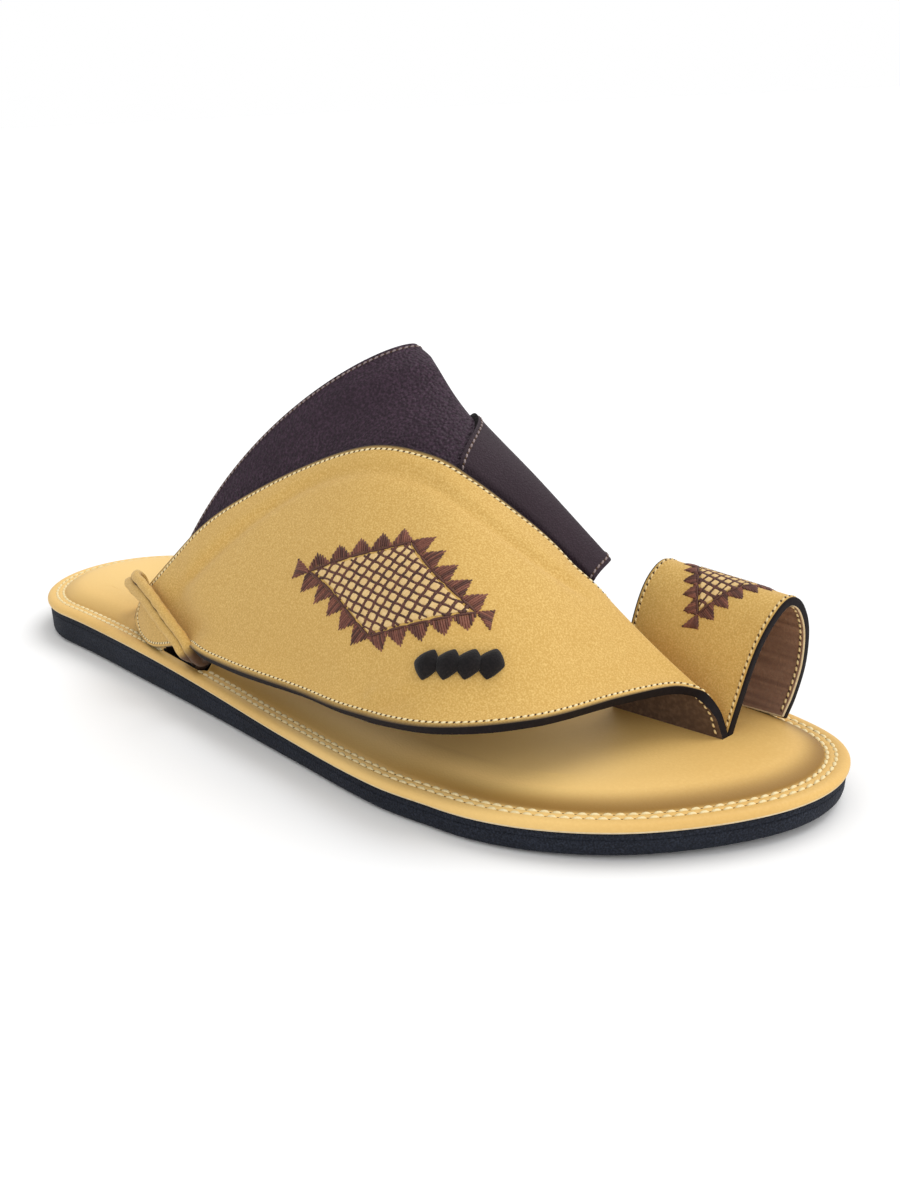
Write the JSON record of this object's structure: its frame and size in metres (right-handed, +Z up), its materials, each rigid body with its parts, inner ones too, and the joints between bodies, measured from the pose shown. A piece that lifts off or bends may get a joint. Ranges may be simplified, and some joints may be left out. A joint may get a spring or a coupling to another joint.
{
  "type": "arabic sandal",
  "caption": "Right-foot Arabic leather sandal: flat rubber sole, padded stitched footbed, wrapped tan vamp with embroidered diamond, dark instep strap, big-toe loop and side thong.",
  "frame": {"origin": "on the floor, under the middle of the sole's length and width", "axes": "+X to the toe, +Y to the inner side of the foot, +Z up from the floor"},
  "size_m": [0.284, 0.1023, 0.1027],
  "materials": {
    "sole_rubber": "matt charcoal rubber with a fine speckle",
    "footbed_leather": "satin golden tan leather over a soft pad",
    "tan_leather": "matt tan nubuck with a fine nap",
    "brown_leather": "semi-matt dark brown leather with a pebble grain",
    "thread": "waxed cream sewing thread",
    "black_thong": "matt black leather thong"
  },
  "bodies": {
    "root": {"outsole": "sole_rubber", "insole": "footbed_leather", "upper": "tan_leather", "toe_loop": "tan_leather", "side_thong": "tan_leather", "braid_1": "black_thong", "braid_2": "black_thong", "braid_3": "black_thong", "braid_4": "black_thong"}
  },
  "joints": []
}
